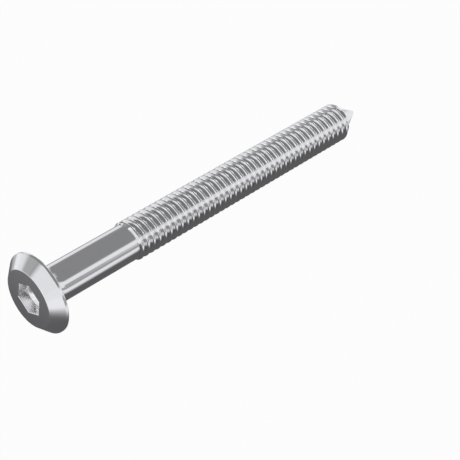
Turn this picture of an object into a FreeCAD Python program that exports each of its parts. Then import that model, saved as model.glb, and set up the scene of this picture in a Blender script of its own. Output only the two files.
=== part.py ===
import FreeCAD, Part
import math
import os

# Furniture screw, turned and rolled as one piece of plated steel. All sizes are in millimetres.
# It is drawn standing on its head, with the axis on Z and the tip upward, and then laid down as it
# comes to rest: on the rim of the head and on the far end of the thread. The tip points along +X.

# Head
head_diameter = 15.7
face_diameter = 11.6
bevel_height = 2.1
rim_height = 0.6
face_edge_radius = 0.25
rim_edge_radius = 0.15

# Hex socket. Its turn is the angle in degrees between a corner and the side that lies uppermost.
socket_across_flats = 5.5
socket_depth = 1.9
socket_mouth_chamfer = 0.1
socket_turn = 7.0

# Neck: a cone under the head that runs out into the shank with a soft flare
neck_base_diameter = 10.6
neck_end_diameter = 7.5
neck_length = 1.55
flare_length = 1.6

# Shank and thread
shank_diameter = 7.15
shank_length = 16.75
thread_diameter = 7.9
thread_length = 58.35
thread_start_chamfer_length = 0.45
thread_end_radius = 0.3

# Pilot tip
tip_base_diameter = 6.45
tip_angle = 57.5
tip_radius = 0.45

# Heights along the axis, measured from the flat face of the head
underside_height = bevel_height + rim_height
neck_end_height = underside_height + neck_length
shank_start_height = neck_end_height + flare_length
thread_start_height = shank_start_height + shank_length
thread_end_height = thread_start_height + thread_length


def point(radius, height):
    return FreeCAD.Vector(radius, 0, height)


def line(start, end):
    return Part.LineSegment(start, end).toShape()


def tangent_arc(start, end, radius, centre):
    """The short arc from start to end about centre."""
    middle = (start + end) * 0.5 - centre
    middle.normalize()
    return Part.Arc(start, centre + middle * radius, end).toShape()


def flare_edge():
    """A hollow curve from the end of the neck that meets the shank without a step."""
    start = point(neck_end_diameter / 2, neck_end_height)
    end = point(shank_diameter / 2, shank_start_height)
    step = (neck_end_diameter - shank_diameter) / 2
    radius = (step**2 + flare_length**2) / (2 * step)
    return tangent_arc(start, end, radius, end + point(radius, 0))


def tip_edges():
    """The straight side of the tip and its round point, from the thread's end face to the axis."""
    half_angle = math.radians(tip_angle / 2)
    base = point(tip_base_diameter / 2, thread_end_height)
    apex_height = thread_end_height + base.x / math.tan(half_angle)
    centre = point(0, apex_height - tip_radius / math.sin(half_angle))
    shoulder = centre + point(tip_radius * math.cos(half_angle), tip_radius * math.sin(half_angle))
    top = centre + point(0, tip_radius)
    return [line(base, shoulder), tangent_arc(shoulder, top, tip_radius, centre)], top


def outline():
    """Half of the screw's lengthwise section, from the centre of the face to the end of the tip."""
    corners = [
        point(0, 0),
        point(face_diameter / 2, 0),
        point(head_diameter / 2, bevel_height),
        point(head_diameter / 2, underside_height),
        point(neck_base_diameter / 2, underside_height),
        point(neck_end_diameter / 2, neck_end_height),
    ]
    edges = [line(start, end) for start, end in zip(corners, corners[1:])]
    edges.append(flare_edge())
    corners = [
        point(shank_diameter / 2, shank_start_height),
        point(shank_diameter / 2, thread_start_height),
        point(thread_diameter / 2, thread_start_height + thread_start_chamfer_length),
        point(thread_diameter / 2, thread_end_height),
        point(tip_base_diameter / 2, thread_end_height),
    ]
    edges += [line(start, end) for start, end in zip(corners, corners[1:])]
    tip, top = tip_edges()
    edges += tip
    edges.append(line(top, point(0, 0)))
    return Part.Face(Part.Wire(edges))


def circle_edges(solid, diameter, height):
    """The edges of the solid that are circles about the axis, of this diameter at this height."""
    found = []
    for edge in solid.Edges:
        box = edge.BoundBox
        flat = box.ZLength < 0.001 and abs(box.ZMin - height) < 0.001
        if flat and abs(box.XMax - diameter / 2) < 0.001:
            found.append(edge)
    return found


def blank():
    """The turned body with its softened edges, before the socket is pressed in."""
    solid = outline().revolve(FreeCAD.Vector(), FreeCAD.Vector(0, 0, 1), 360)
    solid = solid.makeFillet(face_edge_radius, circle_edges(solid, face_diameter, 0))
    solid = solid.makeFillet(rim_edge_radius, circle_edges(solid, head_diameter, bevel_height))
    solid = solid.makeFillet(rim_edge_radius, circle_edges(solid, head_diameter, underside_height))
    return solid.makeFillet(thread_end_radius, circle_edges(solid, thread_diameter, thread_end_height))


def hexagon(across_flats, height):
    """A hexagon about the axis, turned as the socket is."""
    radius = across_flats / math.sqrt(3)
    corners = []
    for index in range(7):
        angle = math.radians(socket_turn + 60 * index)
        corners.append(FreeCAD.Vector(radius * math.cos(angle), radius * math.sin(angle), height))
    return Part.makePolygon(corners)


def socket():
    """What is pressed out of the head: a hexagonal prism with a slightly wider mouth."""
    prism = Part.Face(hexagon(socket_across_flats, 0)).extrude(FreeCAD.Vector(0, 0, socket_depth))
    mouth_width = socket_across_flats + 2 * socket_mouth_chamfer
    mouth = Part.makeLoft(
        [hexagon(mouth_width, 0), hexagon(socket_across_flats, socket_mouth_chamfer)], True, True
    )
    return prism.fuse(mouth)


def rest_tilt():
    """The slope of the axis in degrees when the rim and the end of the thread both touch the floor."""
    drop = (head_diameter / 2 - rim_edge_radius) - (thread_diameter / 2 - thread_end_radius)
    run = (thread_end_height - thread_end_radius) - (underside_height - rim_edge_radius)
    reach = math.hypot(drop, run)
    return math.degrees(math.atan2(drop, run) - math.asin((thread_end_radius - rim_edge_radius) / reach))


def lay_down(solid):
    """Turn the screw from upright to its resting place, with its lowest points on the floor."""
    solid.rotate(FreeCAD.Vector(), FreeCAD.Vector(0, 1, 0), 90 + rest_tilt())
    box = solid.optimalBoundingBox(False, False)
    solid.translate(FreeCAD.Vector(-box.Center.x, -box.Center.y, -box.ZMin))
    return solid


os.makedirs("parts", exist_ok=True)
screw = lay_down(blank().cut(socket()))
screw.exportStep("parts/screw.step")
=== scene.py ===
import math

import bmesh
import bpy
from mathutils import Matrix, Vector


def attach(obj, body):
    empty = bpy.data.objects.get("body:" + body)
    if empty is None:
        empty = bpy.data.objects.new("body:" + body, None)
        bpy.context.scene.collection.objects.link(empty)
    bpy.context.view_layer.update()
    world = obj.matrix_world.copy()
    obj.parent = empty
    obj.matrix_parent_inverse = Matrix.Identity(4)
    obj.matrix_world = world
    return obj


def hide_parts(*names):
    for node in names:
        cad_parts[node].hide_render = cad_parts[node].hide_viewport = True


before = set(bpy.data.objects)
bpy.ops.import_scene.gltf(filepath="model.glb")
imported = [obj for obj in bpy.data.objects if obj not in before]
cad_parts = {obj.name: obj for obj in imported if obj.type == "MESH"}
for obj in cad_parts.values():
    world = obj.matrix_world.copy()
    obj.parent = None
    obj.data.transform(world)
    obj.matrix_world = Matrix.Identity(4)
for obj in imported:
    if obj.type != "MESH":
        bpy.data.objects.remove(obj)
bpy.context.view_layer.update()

# The camera looks down on the lying screw from beyond its head, a little to the side, through a
# long lens. Its place is measured from the middle of the head's flat face.
face_middle = Vector((-0.042976, 0, 0.007968))
camera_elevation = math.radians(40.96)
camera_heading = math.radians(44.83)
camera_aside = 0.03493
camera_raised = 0.01198
camera_back = 0.2273
view_level = Vector((math.cos(camera_heading), math.sin(camera_heading), 0))
view_right = Vector((math.sin(camera_heading), -math.cos(camera_heading), 0))
view_ahead = view_level * math.cos(camera_elevation) - Vector((0, 0, math.sin(camera_elevation)))
view_up = view_right.cross(view_ahead)
bpy.ops.object.camera_add(
    location=face_middle + view_right * camera_aside + view_up * camera_raised - view_ahead * camera_back,
    rotation=view_ahead.to_track_quat("-Z", "Y").to_euler(),
)
camera = bpy.context.object
camera.data.lens = 102.77
camera.data.sensor_width = 36
camera.data.clip_start = 0.01
bpy.context.scene.camera = camera
bpy.context.scene.view_settings.view_transform = "Standard"


# Furniture screw: one piece of steel, headed and rolled, then zinc plated and softly polished. Its
# thread is 5/16 in with 18 turns to the inch, right-handed, with flat crests and round corners. The
# screw is modelled upright on its head, from the thread outwards, and laid down at the end.
MM = 0.001
pitch = 25.4 / 18 * MM
crest_radius = 3.95 * MM
root_radius = 3.2 * MM
root_half_width = 0.08 * pitch
crest_half_width = 0.14 * pitch
corner_rounding = 0.10 * MM
shank_radius = 3.575 * MM
thread_start = 22.6 * MM
thread_end = 80.95 * MM
first_turn = thread_start - 1.62 * pitch
spare_turns = 3
turn_steps = 72
same_point = 1e-7

# One pitch of the thread's profile: from the middle of a root over a crest to the next root
thread_profile = [
    Vector((root_radius, 0, first_turn)),
    Vector((root_radius, 0, first_turn + root_half_width)),
    Vector((crest_radius, 0, first_turn + pitch / 2 - crest_half_width)),
    Vector((crest_radius, 0, first_turn + pitch / 2 + crest_half_width)),
    Vector((root_radius, 0, first_turn + pitch - root_half_width)),
    Vector((root_radius, 0, first_turn + pitch)),
]
bpy.ops.object.select_all(action="DESELECT")
bpy.ops.mesh.primitive_plane_add(size=2 * MM)
screw = bpy.context.object
screw.name = "furniture_screw"
bpy.ops.object.mode_set(mode="EDIT")
bpy.ops.mesh.select_all(action="SELECT")
bpy.ops.mesh.merge(type="CENTER")
bpy.ops.transform.translate(value=thread_profile[0])
for point, following in zip(thread_profile, thread_profile[1:]):
    bpy.ops.mesh.extrude_vertices_move(TRANSFORM_OT_translate={"value": following - point})
bpy.ops.mesh.select_all(action="SELECT")
bpy.ops.mesh.bevel(offset=corner_rounding, segments=4, affect="VERTICES")
bpy.ops.object.mode_set(mode="OBJECT")
turning = screw.modifiers.new("thread", "SCREW")
turning.axis = "Z"
turning.screw_offset = pitch
turning.iterations = math.ceil((thread_end - thread_start) / pitch) + spare_turns
turning.steps = turn_steps
turning.render_steps = turn_steps
turning.use_merge_vertices = True
turning.merge_threshold = 1e-6
turning.use_normal_calculate = True
bpy.ops.object.modifier_apply(modifier=turning.name)


def envelope(height):
    """The radius that the thread stays within: chamfered at its start, rounded at its end."""
    start_chamfer = 0.45 * MM
    end_radius = 0.3 * MM
    if height < thread_start:
        return shank_radius
    if height < thread_start + start_chamfer:
        return shank_radius + (crest_radius - shank_radius) * (height - thread_start) / start_chamfer
    left = thread_end - height
    if left < end_radius:
        across = end_radius - max(left, 0)
        return crest_radius - end_radius + math.sqrt(max(end_radius**2 - across**2, 0))
    return crest_radius


def floor_of_thread(height):
    """The radius that the grooves stay outside of: they run out into the shank at the start."""
    run_out = 0.9 * pitch
    if height < thread_start:
        return shank_radius
    share = min((height - thread_start) / run_out, 1)
    return shank_radius + (root_radius - shank_radius) * math.sin(share * math.pi / 2)


for vertex in screw.data.vertices:
    spot = vertex.co
    radius = math.hypot(spot.x, spot.y)
    wanted = min(max(radius, floor_of_thread(spot.z)), envelope(spot.z))
    spot.x *= wanted / radius
    spot.y *= wanted / radius


def cut_off(height, upward):
    """Cuts the open surface straight across and clears what lies beyond the cut."""
    bpy.ops.mesh.select_all(action="SELECT")
    bpy.ops.mesh.bisect(
        plane_co=(0, 0, height),
        plane_no=(0, 0, 1),
        clear_outer=upward,
        clear_inner=not upward,
        threshold=1e-8,
    )


def select_ring(height):
    """Selects the open edge that lies at this height, and nothing else."""
    slack = 2e-6
    bpy.ops.mesh.select_all(action="DESELECT")
    edit = bmesh.from_edit_mesh(screw.data)
    for edge in edit.edges:
        if edge.is_boundary and all(abs(vertex.co.z - height) < slack for vertex in edge.verts):
            edge.select_set(True)
    bmesh.update_edit_mesh(screw.data)


def follow(stations):
    """Extrudes the selected ring through a list of radii and heights in millimetres."""
    for (radius_now, height_now), (radius, height) in zip(stations, stations[1:]):
        bpy.ops.mesh.extrude_region_move()
        bpy.ops.transform.translate(value=(0, 0, (height - height_now) * MM))
        share = radius / radius_now
        if share != 1:
            bpy.ops.transform.resize(value=(share, share, 1), center_override=(0, 0, height * MM))


def arc(radius, height, size, first, last, steps):
    """Points of a rounded edge about a centre, from the first to the last angle in degrees."""
    angles = [math.radians(first + (last - first) * step / steps) for step in range(steps + 1)]
    return [(radius + size * math.cos(angle), height + size * math.sin(angle)) for angle in angles]


bpy.ops.object.mode_set(mode="EDIT")
bpy.ops.mesh.select_all(action="SELECT")
bpy.ops.mesh.remove_doubles(threshold=same_point)
ring_height = thread_start - 0.2 * MM
cut_off(ring_height, upward=False)
cut_off(thread_end, upward=True)

# Shank, flare, neck, underside, rim and bevel, from the thread back to the face
shank = shank_radius / MM
flare_start = 5.85
flare_length = 1.6
flare_widening = 0.175
flare_steps = 8
underside = 2.70
rim_radius = 7.85
rim_rounding = 0.15
bevel_slope = -44.3
face_rounding = 0.25
head = [(shank, ring_height / MM), (shank, 21), (shank, 17), (shank, 13), (shank, 9)]
for step in range(flare_steps + 1):
    share = step / flare_steps
    head.append((shank + flare_widening * share**2, flare_start - flare_length * share))
head += [(3.80, 4.19), (5.24, underside + 0.06), (5.3, underside)]
head += arc(rim_radius - rim_rounding, underside - rim_rounding, rim_rounding, 90, 0, 5)
head += arc(rim_radius - rim_rounding, 2.16, rim_rounding, 0, bevel_slope, 4)
head += arc(5.63, 0.25, face_rounding, bevel_slope, -90, 8)
select_ring(ring_height)
follow(head)
bpy.ops.mesh.edge_face_add()

# End face of the thread, cone and rounded point
end = thread_end / MM
cone_slope = 28.75
point_rounding = 0.45
tip = [(3.65, end), (3.30, end), (3.225, end + 0.03)]
tip += [(2.4, 82.484), (1.6, 83.942), (0.8, 85.400)]
tip += arc(0, 85.893, point_rounding, cone_slope, 84, 8)
select_ring(thread_end)
follow(tip)
bpy.ops.mesh.edge_face_add()
bpy.ops.mesh.select_all(action="SELECT")
bpy.ops.mesh.normals_make_consistent(inside=False)
bpy.ops.object.mode_set(mode="OBJECT")

# Hexagonal socket, pressed into the face by a punch with a blunt conical point. Its mouth is
# slightly softened. Both cutters are made in place and taken out of the head in turn. The widths
# are shares of the hexagon, each with its depth in millimetres, from outside the face inwards.
across_flats = 5.5 * MM
socket_depth = 1.9
socket_turn = math.radians(7)
first_corner = math.radians(30)
widths = [(1.6, -0.5), (1.075, 0.0), (1.02, 0.085), (1.005, 0.12), (1.0, 0.17), (1.0, socket_depth)]
widest, outermost = widths[0]
bpy.ops.object.select_all(action="DESELECT")
bpy.ops.mesh.primitive_circle_add(
    vertices=6,
    radius=across_flats / math.sqrt(3) * widest,
    fill_type="NGON",
    location=(0, 0, outermost * MM),
)
prism = bpy.context.object
bpy.ops.object.transform_apply(location=True)
bpy.ops.object.mode_set(mode="EDIT")
bpy.ops.mesh.select_all(action="SELECT")
for (share_now, height_now), (share, height) in zip(widths, widths[1:]):
    bpy.ops.mesh.extrude_region_move()
    bpy.ops.transform.translate(value=(0, 0, (height - height_now) * MM))
    narrower = share / share_now
    bpy.ops.transform.resize(value=(narrower, narrower, 1), center_override=(0, 0, height * MM))
bpy.ops.mesh.select_all(action="SELECT")
bpy.ops.mesh.normals_make_consistent(inside=False)
bpy.ops.object.mode_set(mode="OBJECT")
prism.data.transform(Matrix.Rotation(socket_turn + first_corner, 4, "Z"))

point_radius = 2.737
point_end_radius = 0.13
point_length = 1.4
point_overlap = 0.02
bpy.ops.object.select_all(action="DESELECT")
bpy.ops.mesh.primitive_cone_add(
    vertices=96,
    radius1=point_radius * MM,
    radius2=point_end_radius * MM,
    depth=point_length * MM,
    location=(0, 0, (socket_depth - point_overlap + point_length / 2) * MM),
)
punch_point = bpy.context.object
bpy.ops.object.transform_apply(location=True)

for cutter in (prism, punch_point):
    bpy.ops.object.select_all(action="DESELECT")
    screw.select_set(True)
    bpy.context.view_layer.objects.active = screw
    pressing = screw.modifiers.new("socket", "BOOLEAN")
    pressing.operation = "DIFFERENCE"
    pressing.solver = "EXACT"
    pressing.object = cutter
    bpy.ops.object.modifier_apply(modifier=pressing.name)
    bpy.data.objects.remove(cutter)
bpy.ops.object.mode_set(mode="EDIT")
bpy.ops.mesh.select_all(action="SELECT")
bpy.ops.mesh.remove_doubles(threshold=same_point)
bpy.ops.mesh.normals_make_consistent(inside=False)
bpy.ops.object.mode_set(mode="OBJECT")
bpy.ops.object.shade_smooth_by_angle(angle=math.radians(25))
weighting = screw.modifiers.new("flat faces stay flat", "WEIGHTED_NORMAL")
weighting.keep_sharp = True
bpy.ops.object.modifier_apply(modifier=weighting.name)

# Laid down: tip towards +X, resting on the rim and on the end of the thread
rest_tilt = math.radians(2.8586)
laid_down = math.radians(90) + rest_tilt
screw.data.transform(Matrix.Translation(face_middle) @ Matrix.Rotation(laid_down, 4, "Y"))
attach(screw, "root")
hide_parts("screw")


class Socket:
    """A shader socket that sums, products and powers can be written with."""

    def __init__(self, tree, socket):
        self.tree = tree
        self.socket = socket

    def maths(self, operation, *others):
        return node(self.tree, "ShaderNodeMath", {"operation": operation}, self, *others)

    def __add__(self, other):
        return self.maths("ADD", other)

    __radd__ = __add__

    def __sub__(self, other):
        return self.maths("SUBTRACT", other)

    def __rsub__(self, other):
        return self.maths("MULTIPLY_ADD", -1.0, other)

    def __mul__(self, other):
        return self.maths("MULTIPLY", other)

    __rmul__ = __mul__

    def __pow__(self, other):
        return self.maths("POWER", other)

    def __abs__(self):
        return self.maths("ABSOLUTE")

    def parts(self):
        """All the outputs of the node that this socket is on."""
        return [Socket(self.tree, socket) for socket in self.socket.node.outputs]

    def fade(self, low, high, bottom=0.0, top=1.0):
        """A soft step from bottom to top as the value goes from low to high."""
        soft = {"interpolation_type": "SMOOTHSTEP"}
        return node(self.tree, "ShaderNodeMapRange", soft, self, low, high, bottom, top)


def node(tree, kind, settings, *values, output=0):
    """Adds a shader node, sets it up and joins its sockets, and returns one of its outputs."""
    made = tree.nodes.new(kind)
    for name, value in settings.items():
        setattr(made, name, value)
    for place, value in enumerate(values):
        if isinstance(value, Socket):
            tree.links.new(value.socket, made.inputs[place])
        elif value is not None:
            made.inputs[place].default_value = value
    return Socket(tree, made.outputs[output])


plated_steel = bpy.data.materials.new("plated_steel")
plated_steel.use_nodes = True
steel = plated_steel.node_tree
steel_shader = steel.nodes["Principled BSDF"]

# Places on the screw in millimetres: height along its axis, and distance from it
object_place = node(steel, "ShaderNodeTexCoord", {}, output=3)
stood_up = {"vector_type": "TEXTURE"}
upright = node(
    steel, "ShaderNodeMapping", stood_up, object_place, face_middle, (0, laid_down, 0), (MM, MM, MM)
)
across_x, across_y, along = node(steel, "ShaderNodeSeparateXYZ", {}, upright).parts()
from_axis = (across_x * across_x + across_y * across_y) ** 0.5
on_head = along.fade(2.6, 2.9, 1.0, 0.0)
on_shank = along.fade(2.9, 3.4) * along.fade(22.2, 22.6, 1.0, 0.0)
below_face = along.fade(0.02, 0.1) * along.fade(3.5, 3.6, 1.0, 0.0)
in_socket = from_axis.fade(3.2, 3.35, 1.0, 0.0) * below_face
on_walls = in_socket * from_axis.fade(2.70, 2.76)
on_thread = along.fade(22.6, 24.0) * along.fade(80.6, 80.9, 1.0, 0.0)
in_groove = from_axis.fade(3.25, 3.75, 1.0, 0.0) * on_thread


def mottle(size, detail, stretch=(1, 1, 1)):
    """Cloudy noise from 0 to 1 with patches of this size in millimetres, drawn out by the stretch."""
    placed = node(steel, "ShaderNodeVectorMath", {"operation": "DIVIDE"}, upright, stretch)
    return node(steel, "ShaderNodeTexNoise", {"normalize": True}, placed, None, 1 / size, detail, 0.55)


# Pressing leaves the head faintly uneven and a little duller, with faint rings, and the socket's
# walls duller still. Wire drawing leaves long marks on the shank, and the plating is cloudy, and
# rougher in the grooves of the thread, where it settles more thickly. Its colour is lighter in the
# socket, which is painted light for the light bounced between its walls, and darker in the grooves,
# which is painted shade.
clouds = mottle(1.6, 3)
grain = mottle(0.22, 2)
drawn_marks = mottle(0.10, 2, (1, 1, 30))
in_a_line = {"noise_dimensions": "1D"}
rings = node(steel, "ShaderNodeTexNoise", in_a_line, None, from_axis + along * 0.6, 9, 2, 0.5)
unevenness = clouds * on_head * 0.9 + grain * 0.10
unevenness = unevenness + drawn_marks * on_shank * 0.10 + rings * on_head * 0.12
bump = node(steel, "ShaderNodeBump", {}, 0.35, 0.012 * MM, 1.0, unevenness)
roughness = 0.055 + clouds * 0.03 + grain * 0.025 + on_head * 0.05 + in_groove * 0.05
roughness = roughness + drawn_marks * on_shank * 0.02 + in_socket * 0.05 + on_walls * 0.09
# Colour: clouds and grain are the plating's own tone; the lift in the socket is painted light and the
# darkening in the grooves is painted shade.
brightness = 0.745 + clouds * 0.03 + grain * 0.025
brightness = brightness + rings * on_head * 0.01 - in_groove * 0.03 + in_socket * 0.09
plating_and_painted_light = node(steel, "ShaderNodeCombineColor", {}, brightness, brightness, brightness * 1.008)
steel.links.new(plating_and_painted_light.socket, steel_shader.inputs["Base Color"])
steel.links.new(roughness.socket, steel_shader.inputs["Roughness"])
steel.links.new(bump.socket, steel_shader.inputs["Normal"])
steel_shader.inputs["Metallic"].default_value = 1
screw.data.materials.clear()
screw.data.materials.append(plated_steel)


# Floor: a plain pale sheet that the camera sees as white. The metal sees a painted emission instead:
# pale, with painted shade close beside the screw, dim stretches painted behind it and farther out in
# front of it, and a little painted light before the head's face and beyond the tip. Distances are in
# metres from the screw's middle.
bpy.ops.mesh.primitive_plane_add(size=4)
floor = bpy.context.object
floor.name = "floor"
white_sheet = bpy.data.materials.new("white_sheet")
white_sheet.use_nodes = True
sheet = white_sheet.node_tree
sheet_shader = sheet.nodes["Principled BSDF"]
sheet_shader.inputs["Base Color"].default_value = (0.42, 0.42, 0.43, 1)
sheet_shader.inputs["Roughness"].default_value = 0.9
sheet_shader.inputs["Specular IOR Level"].default_value = 0
spot = node(sheet, "ShaderNodeTexCoord", {}, output=3)
spot_x, spot_y = node(sheet, "ShaderNodeSeparateXYZ", {}, spot).parts()[:2]
beyond_ends = (abs(spot_x + 0.004) - 0.036).maths("MAXIMUM", 0.0)
from_screw = (beyond_ends * beyond_ends + spot_y * spot_y) ** 0.5
behind_face = spot_x + 0.043
from_head_x = (behind_face * 2).maths("MAXIMUM", behind_face * -1)
from_head_y = spot_y - 0.006
from_head = (from_head_x * from_head_x + from_head_y * from_head_y) ** 0.5
# Painted shade for the metal's view: dark close to the screw and its head, dimmer behind and in front,
# and painted light before the face and beyond the tip.
open_floor = from_screw.fade(0.0095, 0.0175) * from_head.fade(0.015, 0.037)
dim_front = spot_x.fade(-0.045, -0.025) * spot_y.fade(-0.040, -0.030, 1.0, 0.0)
dim_back = spot_y.fade(0.010, 0.020) * spot_y.fade(0.050, 0.070, 1.0, 0.0)
dim_back = dim_back * spot_x.fade(-0.035, -0.020, 0.75, 1.0)
before_face = spot_x.fade(-0.056, -0.042, 0.075, 0.0)
beyond_tip = spot_x.fade(0.08, 0.13, 0.0, 0.18)
seen_by_metal = open_floor * (1 - dim_front * 0.66) * (1 - dim_back * 0.60) * 0.84
seen_by_metal = seen_by_metal + before_face + beyond_tip + 0.125
camera_ray = node(sheet, "ShaderNodeLightPath", {})
glossy_ray = Socket(sheet, camera_ray.socket.node.outputs["Is Glossy Ray"])
through_ray = Socket(sheet, camera_ray.socket.node.outputs["Is Transmission Ray"])
white = node(sheet, "ShaderNodeEmission", {}, (1, 1, 1, 1), 1.0)
pale = node(sheet, "ShaderNodeCombineColor", {}, seen_by_metal, seen_by_metal, seen_by_metal * 1.03)
# This grey emission shows the metal the painted shade and light above, in place of the lit sheet.
grey = node(sheet, "ShaderNodeEmission", {}, pale, 1.0)
matt = Socket(sheet, sheet_shader.outputs[0])
by_metal = glossy_ray.maths("MAXIMUM", through_ray)
for_metal = node(sheet, "ShaderNodeMixShader", {}, by_metal, matt, grey)
for_camera = node(sheet, "ShaderNodeMixShader", {}, camera_ray * 0.97, for_metal, white)
sheet.links.new(for_camera.socket, sheet.nodes["Material Output"].inputs["Surface"])
floor.data.materials.append(white_sheet)


# Studio: pale walls under a grey ceiling, higher on some sides, with softboxes above and before
# them, a dim opening over the wall on one side and a dark pillar above it on the other. Places are
# compass bearings and heights in degrees, as seen from the screw.
studio = bpy.data.worlds.new("studio")
bpy.context.scene.world = studio
studio.use_nodes = True
sky = studio.node_tree
degrees = 180 / math.pi
way = node(sky, "ShaderNodeTexCoord", {}, output=0)
way_x, way_y, way_z = node(sky, "ShaderNodeSeparateXYZ", {}, way).parts()
height_angle = way_z.maths("ARCSINE") * degrees
bearing = way_y.maths("ARCTAN2", way_x) * degrees
ceiling = 0.29


def panel(middle, half_width, side_edge, low, high, end_edge, strength):
    """A bright panel on the ceiling's grey, with soft edges."""
    turned = (bearing - middle).maths("WRAP", 180, -180)
    width = abs(turned).fade(half_width - side_edge, half_width + side_edge, 1.0, 0.0)
    rise = height_angle.fade(low - end_edge, low + end_edge)
    fall = height_angle.fade(high - end_edge, high + end_edge, 1.0, 0.0)
    return width * rise * fall * (strength - ceiling)


ground = -90
wall_all_round = panel(0, 200, 5, ground, 16, 5, 0.93)
others = [
    # Higher and brighter walls, a strip of light on top of one, and a dull wall
    panel(-50, 30, 6, ground, 28, 4, 0.97),
    panel(-86, 22, 8, ground, 32, 5, 1.2),
    panel(-130, 30, 5, ground, 27, 5, 0.96),
    panel(178.5, 27.5, 5, ground, 46, 5, 0.93),
    panel(172, 20, 5, 38, 49, 4, 1.25),
    panel(131, 18, 12, ground, 38, 8, 0.47),
    panel(98, 17, 5, ground, 26, 5, 0.95),
    # Softboxes high above the head, beside the camera and low before the head's face
    panel(166, 19, 3, 56, 71, 3, 2.2),
    panel(-125, 7, 3, 27, 45, 3, 2.3),
    panel(180, 16, 4, -2, 18, 4, 1.18),
    # A bright strip of wall behind the screw, and softboxes beyond the tip
    panel(43, 9, 3, ground, 26, 3, 1.6),
    panel(2, 18, 5, 34, 50, 3, 0.6),
    panel(14, 10, 4, 14, 34, 4, 2.4),
    panel(8, 24, 5, -10, 8, 4, 1.15),
    panel(-10, 7, 4, 12, 30, 4, 2.0),
]
brightest = wall_all_round
for another in others:
    brightest = brightest.maths("MAXIMUM", another)
glow = brightest + ceiling
opening = abs(bearing + 84).fade(20, 30, 1.0, 0.0) * height_angle.fade(6, 13, 1.0, 0.0)
pillar = abs(bearing - 84).fade(10, 14, 1.0, 0.0) * height_angle.fade(26, 34, 1.0, 0.0)
glow = glow * (1 - opening) * (1 - pillar) + opening * 0.33 + pillar * 0.22
tint = node(sky, "ShaderNodeCombineColor", {}, glow, glow * 1.005, glow * 1.03)
studio_light = Socket(sky, sky.nodes["Background"].outputs[0])
sky.links.new(tint.socket, sky.nodes["Background"].inputs["Color"])
white_backdrop = node(sky, "ShaderNodeBackground", {}, (1, 1, 1, 1), 1.0)
camera_sky = node(sky, "ShaderNodeLightPath", {})
seen = node(sky, "ShaderNodeMixShader", {}, camera_sky, studio_light, white_backdrop)
sky.links.new(seen.socket, sky.nodes["World Output"].inputs["Surface"])
